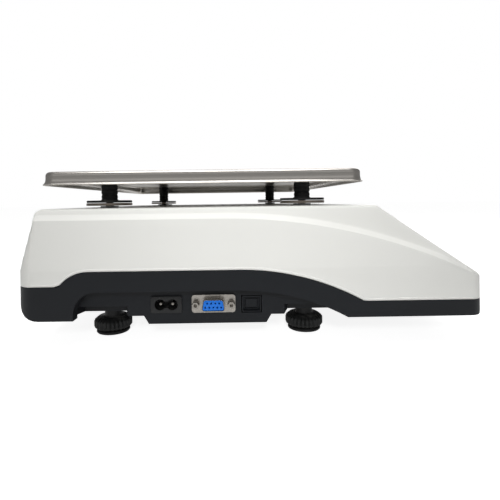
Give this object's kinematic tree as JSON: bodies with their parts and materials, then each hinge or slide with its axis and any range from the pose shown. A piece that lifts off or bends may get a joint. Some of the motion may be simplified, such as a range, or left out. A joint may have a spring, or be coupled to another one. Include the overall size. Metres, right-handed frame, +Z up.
{
  "type": "counting scale",
  "caption": "Bench counting scale: plastic body with a sloping keypad and display, side sockets, screw feet, and a lift-off steel pan on rubber posts.",
  "frame": {"origin": "on the floor, under the centre of the body's plan", "axes": "+Z up, -Y towards the user, +X to the user's right"},
  "size_m": [0.317, 0.325, 0.1234],
  "materials": {
    "cover_white": "fine moulded texture",
    "base_black": "fine moulded texture",
    "stainless": "brushed",
    "rubber_black": "moulded",
    "zinc": "zinc plated",
    "aluminium": "machined and cast",
    "knob_black": "satin",
    "socket_black": "satin",
    "socket_blue": "satin",
    "nickel": "nickel plated",
    "face_grey": "printed film",
    "window_clear": "clear",
    "display_green": "reflective display",
    "key_light": "satin",
    "key_blue": "satin",
    "board_green": "solder resist",
    "battery_grey": "moulded",
    "core_steel": "varnished"
  },
  "bodies": {
    "housing": {"base_housing": "base_black", "top_cover": "cover_white", "chassis_plate": "zinc", "load_cell": "aluminium", "cell_spacer_lower": "zinc", "mains_inlet": "socket_black", "inlet_pin_front": "nickel", "inlet_pin_rear": "nickel", "serial_shell": "nickel", "serial_insert": "socket_blue", "serial_screw_front": "nickel", "serial_screw_rear": "nickel", "port_blank": "base_black", "switch_body": "socket_black", "battery": "battery_grey", "transformer": "core_steel", "main_board": "board_green", "bubble_level": "window_clear", "face_panel": "face_grey", "display_window": "window_clear", "display_module": "display_green", "display_board": "board_green", "key_mat": "rubber_black"},
    "pan_carrier": {"pan_frame": "aluminium", "cell_spacer_upper": "zinc", "pan_post_front_left": "rubber_black", "pan_post_front_right": "rubber_black", "pan_post_rear_left": "rubber_black", "pan_post_rear_right": "rubber_black", "post_washer_front_left": "zinc", "post_washer_front_right": "zinc", "post_washer_rear_left": "zinc", "post_washer_rear_right": "zinc"},
    "pan": {"weighing_pan": "stainless"},
    "rocker": {"switch_rocker": "socket_black"},
    "door": {"battery_door": "base_black"},
    "foot_front_left": {"foot_pad_front_left": "rubber_black"},
    "knob_front_left": {"foot_knob_front_left": "knob_black"},
    "foot_front_right": {"foot_pad_front_right": "rubber_black"},
    "knob_front_right": {"foot_knob_front_right": "knob_black"},
    "foot_rear_left": {"foot_pad_rear_left": "rubber_black"},
    "knob_rear_left": {"foot_knob_rear_left": "knob_black"},
    "foot_rear_right": {"foot_pad_rear_right": "rubber_black"},
    "knob_rear_right": {"foot_knob_rear_right": "knob_black"},
    "key_1_1": {"key_1_1": "key_light"},
    "key_1_2": {"key_1_2": "key_light"},
    "key_1_3": {"key_1_3": "key_light"},
    "key_1_4": {"key_1_4": "key_blue"},
    "key_2_1": {"key_2_1": "key_light"},
    "key_2_2": {"key_2_2": "key_light"},
    "key_2_3": {"key_2_3": "key_light"},
    "key_2_4": {"key_2_4": "key_blue"},
    "key_3_1": {"key_3_1": "key_light"},
    "key_3_2": {"key_3_2": "key_light"},
    "key_3_3": {"key_3_3": "key_light"},
    "key_3_4": {"key_3_4": "key_blue"},
    "key_4_1": {"key_4_1": "key_light"},
    "key_4_2": {"key_4_2": "key_light"},
    "key_4_3": {"key_4_3": "key_light"},
    "key_4_4": {"key_4_4": "key_blue"}
  },
  "joints": [
    {"name": "pan_load", "type": "slide", "parent": "housing", "child": "pan_carrier", "axis": [0, 0, 1], "range_m": [-0.0005, 0], "stiffness_N_per_m": 70000, "springref_m": 0.0006},
    {"name": "pan_lift_off", "type": "slide", "parent": "pan_carrier", "child": "pan", "axis": [0, 0, 1], "range_m": [0, 0.03]},
    {"name": "switch_rock", "type": "hinge", "parent": "housing", "child": "rocker", "pos_m": [0.1476, 0.025, 0.0283], "axis": [0, 0, 1], "range_deg": [0, 20]},
    {"name": "battery_door_hinge", "type": "hinge", "parent": "housing", "child": "door", "pos_m": [0.074, 0.068, 0.0142], "axis": [1, 0, 0], "range_deg": [0, 90]},
    {"name": "foot_travel_front_left", "type": "slide", "parent": "housing", "child": "foot_front_left", "axis": [0, 0, 1], "range_m": [-0.01, 0]},
    {"name": "foot_turn_front_left", "type": "hinge", "parent": "foot_front_left", "child": "knob_front_left", "pos_m": [-0.11775, -0.0441, 0.007], "axis": [0, 0, 1], "range_deg": [-2881, 0]},
    {"name": "foot_travel_front_right", "type": "slide", "parent": "housing", "child": "foot_front_right", "axis": [0, 0, 1], "range_m": [-0.01, 0]},
    {"name": "foot_turn_front_right", "type": "hinge", "parent": "foot_front_right", "child": "knob_front_right", "pos_m": [0.11775, -0.0441, 0.007], "axis": [0, 0, 1], "range_deg": [-2881, 0]},
    {"name": "foot_travel_rear_left", "type": "slide", "parent": "housing", "child": "foot_rear_left", "axis": [0, 0, 1], "range_m": [-0.01, 0]},
    {"name": "foot_turn_rear_left", "type": "hinge", "parent": "foot_rear_left", "child": "knob_rear_left", "pos_m": [-0.11775, 0.1063, 0.007], "axis": [0, 0, 1], "range_deg": [-2881, 0]},
    {"name": "foot_travel_rear_right", "type": "slide", "parent": "housing", "child": "foot_rear_right", "axis": [0, 0, 1], "range_m": [-0.01, 0]},
    {"name": "foot_turn_rear_right", "type": "hinge", "parent": "foot_rear_right", "child": "knob_rear_right", "pos_m": [0.11775, 0.1063, 0.007], "axis": [0, 0, 1], "range_deg": [-2881, 0]},
    {"name": "press_key_1_1", "type": "slide", "parent": "housing", "child": "key_1_1", "axis": [0, -0.5692, 0.8222], "range_m": [-0.0012, 0], "stiffness_N_per_m": 400, "springref_m": 0.001},
    {"name": "press_key_1_2", "type": "slide", "parent": "housing", "child": "key_1_2", "axis": [0, -0.5692, 0.8222], "range_m": [-0.0012, 0], "stiffness_N_per_m": 400, "springref_m": 0.001},
    {"name": "press_key_1_3", "type": "slide", "parent": "housing", "child": "key_1_3", "axis": [0, -0.5692, 0.8222], "range_m": [-0.0012, 0], "stiffness_N_per_m": 400, "springref_m": 0.001},
    {"name": "press_key_1_4", "type": "slide", "parent": "housing", "child": "key_1_4", "axis": [0, -0.5692, 0.8222], "range_m": [-0.0012, 0], "stiffness_N_per_m": 400, "springref_m": 0.001},
    {"name": "press_key_2_1", "type": "slide", "parent": "housing", "child": "key_2_1", "axis": [0, -0.5692, 0.8222], "range_m": [-0.0012, 0], "stiffness_N_per_m": 400, "springref_m": 0.001},
    {"name": "press_key_2_2", "type": "slide", "parent": "housing", "child": "key_2_2", "axis": [0, -0.5692, 0.8222], "range_m": [-0.0012, 0], "stiffness_N_per_m": 400, "springref_m": 0.001},
    {"name": "press_key_2_3", "type": "slide", "parent": "housing", "child": "key_2_3", "axis": [0, -0.5692, 0.8222], "range_m": [-0.0012, 0], "stiffness_N_per_m": 400, "springref_m": 0.001},
    {"name": "press_key_2_4", "type": "slide", "parent": "housing", "child": "key_2_4", "axis": [0, -0.5692, 0.8222], "range_m": [-0.0012, 0], "stiffness_N_per_m": 400, "springref_m": 0.001},
    {"name": "press_key_3_1", "type": "slide", "parent": "housing", "child": "key_3_1", "axis": [0, -0.5692, 0.8222], "range_m": [-0.0012, 0], "stiffness_N_per_m": 400, "springref_m": 0.001},
    {"name": "press_key_3_2", "type": "slide", "parent": "housing", "child": "key_3_2", "axis": [0, -0.5692, 0.8222], "range_m": [-0.0012, 0], "stiffness_N_per_m": 400, "springref_m": 0.001},
    {"name": "press_key_3_3", "type": "slide", "parent": "housing", "child": "key_3_3", "axis": [0, -0.5692, 0.8222], "range_m": [-0.0012, 0], "stiffness_N_per_m": 400, "springref_m": 0.001},
    {"name": "press_key_3_4", "type": "slide", "parent": "housing", "child": "key_3_4", "axis": [0, -0.5692, 0.8222], "range_m": [-0.0012, 0], "stiffness_N_per_m": 400, "springref_m": 0.001},
    {"name": "press_key_4_1", "type": "slide", "parent": "housing", "child": "key_4_1", "axis": [0, -0.5692, 0.8222], "range_m": [-0.0012, 0], "stiffness_N_per_m": 400, "springref_m": 0.001},
    {"name": "press_key_4_2", "type": "slide", "parent": "housing", "child": "key_4_2", "axis": [0, -0.5692, 0.8222], "range_m": [-0.0012, 0], "stiffness_N_per_m": 400, "springref_m": 0.001},
    {"name": "press_key_4_3", "type": "slide", "parent": "housing", "child": "key_4_3", "axis": [0, -0.5692, 0.8222], "range_m": [-0.0012, 0], "stiffness_N_per_m": 400, "springref_m": 0.001},
    {"name": "press_key_4_4", "type": "slide", "parent": "housing", "child": "key_4_4", "axis": [0, -0.5692, 0.8222], "range_m": [-0.0012, 0], "stiffness_N_per_m": 400, "springref_m": 0.001}
  ],
  "couplings": [
    {"joint": "foot_turn_front_left", "follows": "foot_travel_front_left", "rad_per_m": 5026.5},
    {"joint": "foot_turn_front_right", "follows": "foot_travel_front_right", "rad_per_m": 5026.5},
    {"joint": "foot_turn_rear_left", "follows": "foot_travel_rear_left", "rad_per_m": 5026.5},
    {"joint": "foot_turn_rear_right", "follows": "foot_travel_rear_right", "rad_per_m": 5026.5}
  ]
}
